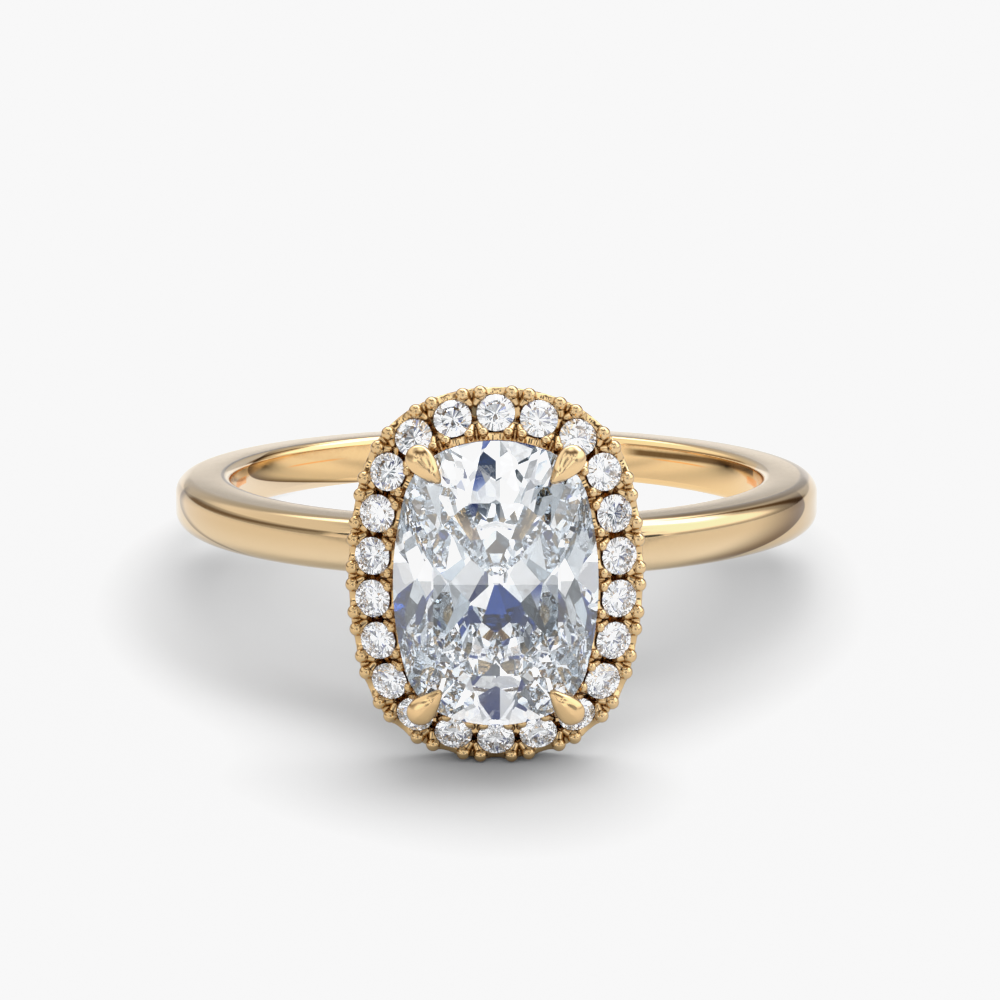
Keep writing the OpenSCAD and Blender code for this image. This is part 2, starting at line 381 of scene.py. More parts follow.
# Painted reflections: brown lines where the band's ends turn away, and a darker tone beyond the
# right end.
def painted_end_reflections(n, up, out, around):
    low = (END_BENDS_BELOW - up).math("MAXIMUM", 0)
    line = END_LINE - low * low * END_BEND
    outside = n.smooth(out, *OUTSIDE)
    inward = line - around
    right_end = n.smooth(inward, *END_EDGE) * n.smooth(inward, *RIGHT_TAIL) * outside
    outward = around + line + LEFT_SHIFT
    left_end = n.smooth(outward, *END_EDGE) * n.smooth(outward, *LEFT_TAIL) * outside
    beyond = n.smooth(inward, *BEYOND_EDGE) * n.smooth(around, *BEYOND_END) * outside
    return right_end + left_end * LEFT_SHARE, beyond


print("end lines at", END_LINE, "and", -END_LINE - LEFT_SHIFT, "degrees")

# %% [markdown]
# What the band's sides mirror
# Along the right shoulder runs a brown edge, a painted reflection. On the left
# the top's painted shade reaches over the shoulder as far as a ledge, and a
# brown fall, also a painted reflection, lies under it. A lamp's edge could draw
# both, but it would move with every other mark, so they are painted too.

# %% The shoulder, the ledge and the fall
SHOULDER_FROM = (9.38, 9.46)
SHOULDER_TO = (9.74, 9.64)
SHOULDER_UP = (0.0, 0.3)
SHOULDER_RIGHT = (3.0, 5.5)
SHOULDER_SHARE = 0.7
LEDGE_UP = 0.6
LEDGE_FALLS_FROM = 62
LEDGE_FALL = 0.0057
LEFT_HALF = (-1.0, -2.0)
LEFT_FACE = (9.4, 9.5)
LEDGE_EDGE = (0.02, -0.02)
LEDGE_END = (-9.0, -6.0)
FALL_EDGE = (-0.02, 0.02)
FALL_TAIL = (0.3, 0.0)
FALL_SHARE = 0.45


# Painted reflections: the brown shoulder, the ledge in the top's painted shade, and the brown
# fall.
def painted_side_reflections(n, x, up, out, around):
    shoulder = n.smooth(out, *SHOULDER_FROM) * n.smooth(out, *SHOULDER_TO)
    shoulder = shoulder * n.smooth(up, *SHOULDER_UP) * n.smooth(x, *SHOULDER_RIGHT)
    ledge_up = LEDGE_UP - (LEDGE_FALLS_FROM + around).math("MAXIMUM", 0) * LEDGE_FALL
    on_left = n.smooth(x, *LEFT_HALF) * n.smooth(out, *LEFT_FACE)
    below = ledge_up - up
    fall = n.smooth(below, *FALL_EDGE) * n.smooth(below, *FALL_TAIL) * on_left
    ledge = n.smooth(below, *LEDGE_EDGE) * on_left * n.smooth(x, *LEDGE_END)
    return shoulder * SHOULDER_SHARE, fall * FALL_SHARE, ledge


print("the ledge lies", LEDGE_UP, "mm over the band's middle")

# %% [markdown]
# What the hole mirrors on the left
# The finger hole is a deep warm mirror. Half way to the head it turns pale on
# both sides, and on the left a brown crescent and a brown rim lie before the pale
# end. These marks could be lit, but the hole mirrors mostly itself, so they are
# painted like those outside. Here an angle counts from the back of the band.

# %% The crescent, the rim and the pale ends
CRESCENT_AT = 75
CRESCENT_UP = 0.45
CRESCENT_BEND = 29
CRESCENT_TOP_BEND = 115
CRESCENT_EDGE = (0.4, -0.4)
CRESCENT_TAIL = (-9, 0)
RIM_FROM = (8.44, 8.47)
RIM_TO = (8.58, 8.52)
RIM_END = (36, 50)
RIM_UP = (0.3, 0.6)
PALE_LEFT = (-0.4, 0.4)
PALE_RIGHT = (81, 82)
PALE_FRONT = (106, 92)


# Painted reflections in the hole: the brown crescent, the brown rim and the pale ends.
def painted_crescent_reflections(n, up, out, end, left):
    lift = up - CRESCENT_UP
    above = lift.math("MAXIMUM", 0)
    past = end - CRESCENT_AT + lift * lift * CRESCENT_BEND + above * above * CRESCENT_TOP_BEND
    crescent = n.smooth(past, *CRESCENT_EDGE) * n.smooth(past, *CRESCENT_TAIL) * left
    rim = n.smooth(out, *RIM_FROM) * n.smooth(out, *RIM_TO) * n.smooth(end, *RIM_END) * left
    pale = n.smooth(past, *PALE_LEFT) * left + n.smooth(end, *PALE_RIGHT) * (1 - left)
    return crescent, rim * n.smooth(up, *RIM_UP), pale * n.smooth(end, *PALE_FRONT)


print("the pale ends begin", CRESCENT_AT, "and", PALE_RIGHT[0], "degrees from the back")

# %% [markdown]
# What the hole mirrors on the right
# There a brown stripe, a painted reflection, runs along the hole. Lower, and on
# both sides, lie a thin orange streak and a glint, both painted highlights. They
# could be one gradient, but each starts and ends elsewhere. So each is a soft
# line of painted colour at its own height, faded in and out along the band.

# %% The stripe, the glint and the streak
# The orange of the painted glint and streak, which are painted highlights.
PAINTED_ORANGE_GLINT = (0.95, 0.42, 0.1, 1)
INSIDE = (8.45, 8.3)
LEFT_SIDE = (0, -1)
STRIPE_UP = 0.31
STRIPE_RISES = (36, 80)
STRIPE_RISE = 0.16
STRIPE_EDGE = (0.17, 0.05)
STRIPE_BACK = (30, 36)
STRIPE_FRONT = (81, 80)
GLINT_BACK = (75.5, 76.5)
GLINT_FRONT = (84.5, 83.5)
GLINT_UP = 0.16
GLINT_EDGE = (0.13, 0.1)
STREAK_UP = 0.15
STREAK_EDGE = (0.035, 0.01)
STREAK_BACK = (37, 43)
STREAK_FRONT = (58, 52)


# Painted reflection and highlights: the brown stripe, the orange glint and the streak.
def painted_stripe_reflections(n, up, end, left):
    rise = STRIPE_UP + n.smooth(end, *STRIPE_RISES) * STRIPE_RISE
    stripe = n.smooth(abs(up - rise), *STRIPE_EDGE) * (1 - left)
    stripe = stripe * n.smooth(end, *STRIPE_BACK) * n.smooth(end, *STRIPE_FRONT)
    glint = n.smooth(end, *GLINT_BACK) * n.smooth(end, *GLINT_FRONT)
    glint = glint * n.smooth(abs(up - GLINT_UP), *GLINT_EDGE)
    streak = n.smooth(abs(up - STREAK_UP), *STREAK_EDGE) * n.smooth(end, *STREAK_BACK)
    return stripe, glint + streak * n.smooth(end, *STREAK_FRONT)


def painted_hole_reflections(n, up, out, around):
    inside = n.smooth(out, *INSIDE)
    end = 180 - abs(around)
    left = n.smooth(around, *LEFT_SIDE)
    crescent, rim, pale = painted_crescent_reflections(n, up, out, end, left)
    stripe, orange = painted_stripe_reflections(n, up, end, left)
    return inside * (crescent + stripe) + rim, inside, pale * inside, orange * inside


print("the stripe rises by", STRIPE_RISE, "mm")

# %% [markdown]
# The band's painted light
# The band needs all these painted reflections, and a painted shade or
# reflection for each side that it turns: a darker top and outer face, and a warm
# hole that turns pale toward the head. Separate materials would leave hard
# seams where they meet, so one colour is mixed step by step, each step under
# its mask.

# %% Painted reflections over painted side shades
# Painted shade and reflection: tones for the top, the outer face, the hole and its pale ends, by
# what each side faces.
PAINTED_TOP_SHADE = (0.57, 0.42, 0.235, 1)
PAINTED_FACE_SHADE = (0.64, 0.46, 0.25, 1)
PAINTED_HOLE_REFLECTION = (0.86, 0.6, 0.3, 1)
PAINTED_PALE_REFLECTION = (0.8, 0.64, 0.45, 1)
TOP_UP = (0.7, 0.76)
FACE_OUT = (9.45, 9.65)
FACE_UP = (-0.4, 0.2)
FACE_SHARE = 0.75
BEYOND_SHARE = 0.8
TOP_SHARE = 0.9
ORANGE_SHARE = 0.85
BROWN_SHARE = 0.95


def painted_band_light(n, spot, colour):
    x, y, z = (part * 1000 for part in n.parts(spot))
    ahead = z * math.sin(rest_tilt) - y * math.cos(rest_tilt)
    up = y * math.sin(rest_tilt) + z * math.cos(rest_tilt)
    out = (x * x + ahead * ahead).math("SQRT")
    around = x.math("ARCTAN2", ahead) * (180 / math.pi)
    end_brown, beyond = painted_end_reflections(n, up, out, around)
    shoulder, fall, ledge = painted_side_reflections(n, x, up, out, around)
    inner_brown, inside, pale, orange = painted_hole_reflections(n, up, out, around)
    top = (n.smooth(up, *TOP_UP) + ledge).math("MINIMUM", 1)
    face = n.smooth(out, *FACE_OUT) * n.smooth(up, *FACE_UP)
    brown = (end_brown + shoulder + fall + inner_brown).math("MINIMUM", 1)
    # Each step mixes in a painted shade, reflection or highlight.
    for mask, tone in (
        (face * FACE_SHARE, PAINTED_FACE_SHADE), (beyond * BEYOND_SHARE, PAINTED_TOP_SHADE),
        (top * TOP_SHARE, PAINTED_TOP_SHADE), (inside, PAINTED_HOLE_REFLECTION), (pale, PAINTED_PALE_REFLECTION),
        (orange * ORANGE_SHARE, PAINTED_ORANGE_GLINT), (brown * BROWN_SHARE, PAINTED_BROWN_REFLECTION),
    ):
        colour = n.mix(mask, colour, tone)
    return colour


gold = gold_finish(
    "polished_gold", haze=0.07, ripple=0.1, pale=(0.75, 0.59, 0.38, 1),
    deep=(0.71, 0.55, 0.34, 1), nook=0.0003, painted_light=painted_band_light,
)
print("the band's finish:", gold.name)

# %% [markdown]
# The gold of the halo and the claws
# Beads and channel are burnished one by one, so they shine more than the claws,
# which are filed and then brushed up. On a real ring the sides of such small
# forms mirror the darker metal round them. The tent is bright all round and
# doesn't give that, so each form is darkened toward its own outline.

# %% Two more golds
halo_gold = gold_finish(
    "halo_gold", haze=0.04, ripple=0.05, pale=(0.74, 0.54, 0.3, 1),
    deep=(0.66, 0.46, 0.23, 1), nook=0.0005, rim=0.9,
)
claw_gold = gold_finish(
    "claw_gold", haze=0.14, ripple=0.06, pale=(0.8, 0.58, 0.32, 1),
    deep=(0.76, 0.53, 0.27, 1), nook=0.0004, rim=0.85,
)
print("finishes:", halo_gold.name, claw_gold.name)

# %% [markdown]
# Clear stones
# A diamond bends light strongly, with an index of about 2.42, so most of what
# enters the crown is thrown back by the facets below. The faces are flat and
# almost perfectly smooth, with only a trace of polish lines here and there. A
# glass shader is near, but the principled one can be baked, so its transmission
# is used, on crown and girdle.

# %% The clear finish
DIAMOND_INDEX = 2.42
POLISH_TRACE = 0.01
CLOUD_FADE = (0.4, 0.7)
TRACE_FADE = (0.55, 0.9)


def stone_finish(name, tint, cloudiness):
    made = bpy.data.materials.new(name)
    n = Nodes(made)
    spot = n.add("TexCoord", out=3)
    cloud = n.noise(spot, cloudiness, 2.0)
    shader = n.add(
        "BsdfPrincipled",
        {},
        {
            "Base Color": n.mix(n.smooth(cloud, *CLOUD_FADE), (1, 1, 1, 1), tint),
            "Roughness": n.smooth(cloud, *TRACE_FADE) * POLISH_TRACE,
            "IOR": DIAMOND_INDEX,
            "Transmission Weight": 1.0,
        },
    )
    n.add("OutputMaterial", {}, {"Surface": shader})
    return made


clear = stone_finish("clear_cushion", (0.965, 0.98, 1, 1), 900.0)
sparkle = stone_finish("clear_melee", (0.96, 0.975, 1, 1), 2500.0)
print("finishes:", clear.name, sparkle.name)

# %% [markdown]
# Foil behind the stones
# Jewellers of old laid foil behind a stone to throw light back. A well cut
# diamond needs none, and tracing it as clear glass all round could do, but that
# stone came out too dark over its basket. So its lower facets get a mirror
# finish. Three foils are made: a bright one, and a grey and a blue that are
# painted reflections, darkening or tinting the facets that would mirror
# something dark or blue.

# %% The foils
FOIL_SCALE = 1500.0
FOIL_TRACE_FADE = (0.6, 0.9)


def foil_finish(name, bright, tint):
    made = bpy.data.materials.new(name)
    n = Nodes(made)
    spot = n.add("TexCoord", out=3)
    cloud = n.noise(spot, FOIL_SCALE, 2.0)
    colour = n.mix(n.smooth(cloud, *CLOUD_FADE), bright, tint)
    roughness = n.smooth(cloud, *FOIL_TRACE_FADE) * POLISH_TRACE
    shader = n.add(
        "BsdfPrincipled",
        {},
        {"Base Color": colour, "Metallic": 1.0, "Roughness": roughness},
    )
    n.add("OutputMaterial", {}, {"Surface": shader})
    return made


foil = foil_finish("pavilion_facets", (0.99, 0.995, 1, 1), (0.975, 0.985, 1, 1))
# The grey and blue foils are painted reflections: they stand for facets that mirror something dark
# or blue.
painted_grey_foil = foil_finish("painted_dark_reflection_facets", (0.58, 0.62, 0.65, 1), (0.62, 0.66, 0.69, 1))
painted_blue_foil = foil_finish("painted_blue_reflection_facets", (0.012, 0.045, 0.2, 1), (0.02, 0.07, 0.26, 1))
print("foils:", foil.name, painted_grey_foil.name, painted_blue_foil.name)

# %% [markdown]
# From points to pieces
# Every piece starts as a mesh in millimetres in the head's own axes or the
# ring's. One function scales it, lays it on the table, gives it its finish and
# hides the part of the fixed model that it stands for. Which facets of a stone
# mirror something dark is luck on a real one, so here a seeded draw picks the
# facets that get a painted dark grey or blue reflection: the same ones each
# time, and most of them near the point of the centre stone.

# %% Finishing a piece
SMOOTH_UNDER = math.radians(40)
FACES_DOWN = -0.05
DARK_WITHIN = 1.5
GREY_SHARE = 0.3
BLUE_SHARE = 0.12
OUTER_GREY_SHARE = 0.04
facet_luck = random.Random(5)


def into_scene(name, bm):
    data = bpy.data.meshes.new(name)
    bm.to_mesh(data)
    bm.free()
    thing = bpy.data.objects.new(name, data)
    bpy.context.scene.collection.objects.link(thing)
    return thing


# Picks a facet's painted reflection: 0 the bright foil, 1 a painted dark grey, 2 a painted blue.
def painted_reflection_pick(face):
    luck = facet_luck.random()
    if face.calc_center_median().xy.length < DARK_WITHIN:
        return (luck < GREY_SHARE) + (luck < BLUE_SHARE)
    return int(luck < OUTER_GREY_SHARE)


def finish_piece(name, bm, place, finish, node="setting", foils=()):
    bmesh.ops.recalc_face_normals(bm, faces=bm.faces)
    if foils:
        for face in bm.faces:
            if face.normal.z < FACES_DOWN:
                face.material_index = 1 + min(painted_reflection_pick(face), len(foils) - 1)
    bmesh.ops.transform(bm, matrix=place, verts=bm.verts)
    piece = into_scene(name, bm)
    data = piece.data
    for layer in (finish, *foils):
        data.materials.append(layer)
    if not foils:
        data.shade_smooth()
        data.set_sharp_from_angle(angle=SMOOTH_UNDER)
    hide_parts(node)
    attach(piece, "root")
    data.calc_loop_triangles()
    print(name, "has", len(data.loop_triangles), "triangles")


# %% [markdown]
# Turned shapes
# Beads, rods and the band are all round about some line. Blender's own sphere
# and cylinder would do for the plain ones, but not for a bead that runs into its
# stem. So one function spins any profile about an axis, and another makes the
# profile of two balls joined by the cone that touches both.

# %% Spinning a profile
BEAD_SIDES = 20
BALL_RINGS = 12
BULB_RINGS = 7
ON_AXIS = 1e-9


def spin(bm, profile, place, sides, closed=False):
    rings = []
    for r, z in profile:
        count = 1 if r < ON_AXIS else sides
        rings.append([
            bm.verts.new(place @ Vector((*(r * toward(360 * k / sides)), z)))
            for k in range(count)
        ])
    pairs = list(zip(rings, rings[1:]))
    if closed:
        pairs.append((rings[-1], rings[0]))
    for low, high in pairs:
        for k in range(sides):
            corners = [low[k % len(low)], low[(k + 1) % len(low)],
                       high[(k + 1) % len(high)], high[k % len(high)]]
            bm.faces.new(list(dict.fromkeys(corners)))


def pointing(start, end):
    way = (end - start).normalized()
    return Matrix.Translation(start) @ way.to_track_quat("Z", "Y").to_matrix().to_4x4()


def bulb(bm, start, start_r, end, end_r, sides=BEAD_SIDES):
    start, end = Vector(start), Vector(end)
    length = (end - start).length
    touch = math.degrees(math.acos((start_r - end_r) / length))
    profile = [
        (start_r * toward(a).y, start_r * toward(a).x)
        for a in (180 - (180 - touch) * k / BULB_RINGS for k in range(BULB_RINGS + 1))
    ] + [
        (end_r * toward(a).y, length + end_r * toward(a).x)
        for a in (touch * (1 - k / BULB_RINGS) for k in range(BULB_RINGS + 1))
    ]
    profile[0] = (0, profile[0][1])
    profile[-1] = (0, profile[-1][1])
    spin(bm, profile, pointing(start, end), sides)


def ball(bm, centre, r):
    steps = [math.pi * k / BALL_RINGS for k in range(BALL_RINGS + 1)]
    profile = [(r * math.sin(a), -r * math.cos(a)) for a in steps]
    profile[0] = (0, -r)
    profile[-1] = (0, r)
    spin(bm, profile, Matrix.Translation(centre), BEAD_SIDES)


print("turning tools ready")

# %% [markdown]
# The band
# The band is one plain round wire, forged and rounded at its edges so that it
# is kind to the finger. A torus would be too round, and a bevelled tube would
# round all its edges alike. The real section has two larger roundings outside
# and two smaller ones inside, and spinning that section gives the whole band.

# %% Spin the band
BAND_SIDES = 360
ROUND_STEPS = 12
half_w = BAND_W / 2
section = []
for r_at, inward, up, rounding, start in (
    (band_r, 1, 1, OUTER_ROUND, 0), (FINGER_R, -1, 1, INNER_ROUND, 90),
    (FINGER_R, -1, -1, INNER_ROUND, 180), (band_r, 1, -1, OUTER_ROUND, 270),
):
    middle = Vector((r_at - inward * rounding, up * (half_w - rounding)))
    for k in range(ROUND_STEPS + 1):
        section.append(tuple(middle + rounding * toward(start + 90 * k / ROUND_STEPS)))
bm = bmesh.new()
spin(bm, section, Matrix(), BAND_SIDES, closed=True)
finish_piece("band", bm, LYING, gold)

# %% [markdown]
# Cutting a stone
# A cutter grinds one flat after another on a shaped rough. A list of corners
# would be shorter, but it has to be worked out for each outline. So the cutter's
# way is followed: a prism with the stone's outline is sliced by a plane for each
# facet, and each slice is closed by one flat face. The girdle between crown and
# pavilion is what is left of the prism's wall.

# %% Laps and facets
CUT_TRACE = 1e-7


def rough(points, low, high):
    bm = bmesh.new()
    rims = [[bm.verts.new((p.x, p.y, z)) for p in points] for z in (low, high)]
    bm.faces.new(rims[0][::-1])
    bm.faces.new(rims[1])
    for k in range(len(points)):
        j = (k + 1) % len(points)
        bm.faces.new((rims[0][k], rims[0][j], rims[1][j], rims[1][k]))
    return bm


def lap(bm, turn, slope, out, z, side):
    d = toward(turn)
    normal = Vector((d.x * math.sin(slope), d.y * math.sin(slope), side * math.cos(slope)))
    everything = bm.verts[:] + bm.edges[:] + bm.faces[:]
    cut = bmesh.ops.bisect_plane(
        bm, geom=everything, dist=CUT_TRACE, plane_co=(*(d * out), z), plane_no=normal,
        clear_outer=True,
    )
    rim = [e for e in cut["geom_cut"] if isinstance(e, bmesh.types.BMEdge) and e.is_boundary]
    if rim:
        bmesh.ops.holes_fill(bm, edges=rim, sides=0)


def between(turns, share):
    return [t + share * ((turns[(k + 1) % len(turns)] - t) % 360) for k, t in enumerate(turns)]


print("laps ready")

# %% [markdown]
# The facets' slopes
# On a real brilliant the mains of the crown rise to the table and those of the
# pavilion fall to the culet, so both get steeper where the outline is nearer.
# Beside each main lie two halves. They are steeper, start at the girdle, and end
# where the stone has shrunk to a given share. With one slope for all, the table
# would lose the outline's proportions, so each facet's slope is worked out.

# %% Slopes
def half_slope(cut, turn, main, steepness, share):
    corner = cut.rim_point(turn).dot(toward(main))
    drop = (cut.reach(main) - share * corner) * steepness
    return math.atan(drop / (cut.reach(turn) * (1 - share)))


def beside(mains):
    for share, shift in ((0.25, 0), (0.75, 1)):
        for k, turn in enumerate(between(mains, share)):
            yield turn, mains[(k + shift) % len(mains)]


def crown_facets(bm, mains, cut):
    def rise(turn):
        return cut.crown / (cut.reach(turn) * (1 - cut.table))

    top = cut.girdle / 2
    for turn in mains:
        lap(bm, turn, math.atan(rise(turn)), cut.reach(turn), top, 1)
    for turn, main in beside(mains):
        slope = half_slope(cut, turn, main, rise(main), cut.crown_halves_to)
        lap(bm, turn, slope, cut.reach(turn), top, 1)
    for turn in between(mains, 0.5):
        slope = math.atan(cut.star_slope * cut.crown / (cut.reach(turn) * (1 - cut.table)))
        lap(bm, turn, slope, cut.star_at * cut.reach(turn), top + cut.crown, 1)


def pavilion_facets(bm, mains, cut):
    bottom = -cut.girdle / 2
    for turn in mains:
        lap(bm, turn, math.atan(cut.pavilion / cut.reach(turn)), cut.reach(turn), bottom, -1)
    for turn, main in beside(mains):
        fall = cut.pavilion / cut.reach(main)
        slope = half_slope(cut, turn, main, fall, cut.pavilion_halves_to)
        lap(bm, turn, slope, cut.reach(turn), bottom, -1)


print("slopes ready")

# %% [markdown]
# The centre stone
# It is a long cushion brilliant. Its crown has a table, eight stars, eight mains
# and sixteen halves. Eight long mains below would throw a few big flashes, but a
# crushed-ice cushion breaks them up, so its pavilion is a belly of four rows of
# small facets, each row less steep than the one above. A row is the share of the
# outline where it starts, its number of facets, and its turn in facets. Flat
# facets reach past the curve that they touch, so the curve is made shallower.

# %% Cut the centre stone
GIRDLE_STEPS = 144
BELLY = 1.4
PAST_CURVE = 1.02
BELLY_DEPTH = PAVILION_H / PAST_CURVE
BELLY_ROWS = ((1, 16, 0.5), (0.76, 16, 0), (0.48, 16, 0.5), (0.22, 8, 0))
cushion = SimpleNamespace(
    reach=reach, rim_point=outline, crown=CROWN_H, girdle=GIRDLE_T, table=TABLE_SHARE,
    crown_halves_to=0.8, star_at=0.62, star_slope=0.62,
)
mains = [base + t for base in (0, 180) for t in (0, CLAW_TURN, 90, 180 - CLAW_TURN)]
top = GIRDLE_T / 2
bm = rough(
    [outline(360 * k / GIRDLE_STEPS) for k in range(GIRDLE_STEPS)],
    -PAVILION_H - top, CROWN_H + top,
)
crown_facets(bm, mains, cushion)
for share, count, shift in BELLY_ROWS:
    for k in range(count):
        turn = (k + shift) * 360 / count
        slope = math.atan(BELLY * BELLY_DEPTH * share ** (BELLY - 1) / reach(turn))
        lap(bm, turn, slope, share * reach(turn), -top - BELLY_DEPTH * (1 - share**BELLY), -1)
place = HEAD @ Matrix.Translation((0, 0, GIRDLE_RISE))
finish_piece("cushion_stone", bm, place, clear, "centre_stone",
             foils=(foil, painted_grey_foil, painted_blue_foil))

# %% [markdown]
# The halo stones
# Each is a round brilliant of one millimetre, with a table, eight stars, eight
# mains and sixteen halves above, and eight mains and sixteen halves below. One
# mesh could be shared by them all, but setters drop them in at any turn. So each
# is cut and spun by its own angle, which keeps their sparkle from repeating.

# %% Cut the halo stones
MELEE_CROWN = 0.15
MELEE_PAVILION = 0.425
MELEE_GIRDLE = 0.03
MELEE_STEPS = 48


def melee_reach(turn):
    return melee_r


def melee_point(turn):
    return melee_r * toward(turn)


melee = SimpleNamespace(
    reach=melee_reach, rim_point=melee_point, crown=MELEE_CROWN, pavilion=MELEE_PAVILION,
    girdle=MELEE_GIRDLE, table=0.57, crown_halves_to=0.8, star_at=0.6, star_slope=0.6,
    pavilion_halves_to=0.24,
)
eight = [45 * k for k in range(8)]
spins = random.Random(7)
for k in range(HALO_COUNT):
    name = f"halo_stone_{k + 1:02d}"
    bm = rough(
        [melee_point(360 * j / MELEE_STEPS) for j in range(MELEE_STEPS)],
        -MELEE_PAVILION - MELEE_GIRDLE / 2, MELEE_CROWN + MELEE_GIRDLE / 2,
    )
    crown_facets(bm, eight, melee)
    pavilion_facets(bm, eight, melee)
    turned = Matrix.Rotation(spins.uniform(0, math.pi / 4), 4, "Z")
    finish_piece("brilliant_" + name[-2:], bm, HEAD @ on_path(k) @ turned, sparkle,
                 name, foils=(foil,))

# %% [markdown]
# The halo's channel
# The metal under the small stones is a saucer-shaped channel, cast with thin
# walls. A curve with a bevel profile could sweep it, but its mesh would not keep
# step with the stones. So a section is swept along the outline in steps that
# divide the distance between two stones.

# %% Sweep the channel
SWEEP_PER_STONE = 24
CHANNEL_DEPTH = 0.85
FLOOR_T = 0.22
CHANNEL_W = 0.76
OUTER_FACE = 0.65
OUTER_TAPER = 0.07
INNER_FACE = -0.75
WALL_TOP = 0.05
lean = math.tan(math.radians(HALO_LEAN))


def swept(section):
    bm = bmesh.new()
    rings = []
    count = HALO_COUNT * SWEEP_PER_STONE
    for k in range(count):
        turn = path_turn(k / SWEEP_PER_STONE * pitch)
        rings.append([bm.verts.new((*outline(turn, path_grow + x), z)) for x, z in section])
    for k in range(count):
        a, b = rings[k], rings[(k + 1) % count]
        for j in range(len(section)):
            i = (j + 1) % len(section)
            bm.faces.new((a[j], a[i], b[i], b[j]))
    bmesh.ops.recalc_face_normals(bm, faces=bm.faces)
    return bm


half_channel = CHANNEL_W / 2
channel_section = [
    (OUTER_FACE - OUTER_TAPER, -CHANNEL_DEPTH),
    (OUTER_FACE, -OUTER_FACE * lean + WALL_TOP),
    (half_channel, -half_channel * lean + WALL_TOP),
    (half_channel, FLOOR_T - CHANNEL_DEPTH),
    (-half_channel, FLOOR_T - CHANNEL_DEPTH),
    (-half_channel, half_channel * lean + WALL_TOP),
    (INNER_FACE, -INNER_FACE * lean + WALL_TOP),
    (INNER_FACE, -CHANNEL_DEPTH),
]
channel = swept(channel_section)
print("channel sweep has", len(channel.faces), "faces")

# %% [markdown]
# Bench tools
# A setter cuts the channel with drills and files, and a polisher softens what
# they leave. Cuts could be modelled face by face, but a Boolean modifier does
# them as the tools do: the cutter is subtracted from a bench copy of the mesh,
# and the result is taken back. A voxel remesh and a few rounds of smoothing then
# soften every arris.

# %% Cut and soften
def taken(thing):
    graph = bpy.context.evaluated_depsgraph_get()
    bm = bmesh.new()
    bm.from_object(thing, graph)
    bpy.data.objects.remove(thing)
    return bm


def cut_away(bm, cutter):
    thing, tool = into_scene("bench", bm), into_scene("tool", cutter)
    cut = thing.modifiers.new("cut", "BOOLEAN")
    cut.operation = "DIFFERENCE"
    cut.solver = "MANIFOLD"
    cut.object = tool
    done = taken(thing)
    bpy.data.objects.remove(tool)
    return done


def softened(bm, voxel, rubs):
    thing = into_scene("bench", bm)
    cells = thing.modifiers.new("cells", "REMESH")
    cells.mode = "VOXEL"
    cells.voxel_size = voxel
    rub = thing.modifiers.new("rub", "SMOOTH")
    rub.factor = 0.5
    rub.iterations = rubs
    return taken(thing)


print("bench tools ready")

# %% [markdown]
# Seats and scallops
# Each stone sits in a drilled seat that is a little wider than the stone, with a
# hole below it for light. Beside it both walls are filed down in a scallop, so
# that the stone shows from the side. One cutter could do both, but drill and
# file lie at right angles, so each gets its own.

# %% Drill and file
SEAT_GAP = 0.03
SEAT_SHARE = 0.5
DRILL_DOWN = -1.6
DRILL_UP = 0.5
DRILL_SIDES = 40
SCALLOP_R = 0.36
SCALLOP_RISE = 0.29
FILE_L = 2.4
FILE_SIDES = 32
seat_r = melee_r + SEAT_GAP
seat_z = -MELEE_GIRDLE / 2 - SEAT_GAP
drill_r = melee_r / 2
drill_profile = [
    (0, DRILL_DOWN), (drill_r, DRILL_DOWN), (drill_r, seat_z - SEAT_SHARE * MELEE_PAVILION),
    (seat_r, seat_z), (seat_r, DRILL_UP), (0, DRILL_UP),
]
file_profile = [(0, 0), (SCALLOP_R, 0), (SCALLOP_R, FILE_L), (0, FILE_L)]
file_start = Matrix.Translation((-FILE_L / 2, 0, SCALLOP_RISE))
file_turn = Matrix.Rotation(math.pi / 2, 4, "Y")
seats, files = bmesh.new(), bmesh.new()
for k in range(HALO_COUNT):
    spin(seats, drill_profile, on_path(k), DRILL_SIDES)
    spin(files, file_profile, on_path(k) @ file_start @ file_turn, FILE_SIDES)
channel = cut_away(channel, seats)
channel = cut_away(channel, files)
print("drilled and filed:", len(channel.faces), "faces")

# %% [markdown]
# Fishtail posts and beads
# Between two stones the setter splits the wall with a V cut. Each half becomes
# a small post that is pushed over the stones and rounded to a bead. A ball on
# the wall would be quicker, but it would look glued on. So every gap gets a pair
# of beads on each wall, with stems that meet in a V at the channel. Lengths are
# shares of the bead where they follow its size.

# %% Beads and stems
OUTER_BEAD = SimpleNamespace(way=1, r=0.195, pair=0.46, across=0.545, rise=0.05)
INNER_BEAD = SimpleNamespace(way=-1, r=0.14, pair=0.36, across=0.575, rise=0.15)
ROOT_AT = 0.33
ROOT_ASIDE = 0.09
ROOT_DROP = 0.16
HEEL_BACK = 0.05
HEEL_DROP = 0.45
NECK_DROP = 0.3
NECK_SHARE = 0.85
ROOT_SHARE = 0.62
POST_SHARE = 0.72
HEEL_SHARE = 0.6


def fishtail(bm, spot, bead):
    for side in (-1, 1):
        centre = Vector((bead.way * bead.across, side * bead.pair / 2, bead.rise))
        neck = centre + Vector((0, 0, -NECK_DROP * bead.r))
        root = Vector((bead.way * ROOT_AT, side * ROOT_ASIDE, bead.rise - ROOT_DROP))
        heel = centre + Vector((-bead.way * HEEL_BACK, 0, -HEEL_DROP))
        ball(bm, spot @ centre, bead.r)
        bulb(bm, spot @ neck, NECK_SHARE * bead.r, spot @ root, ROOT_SHARE * bead.r)
        bulb(bm, spot @ centre, POST_SHARE * bead.r, spot @ heel, HEEL_SHARE * bead.r)


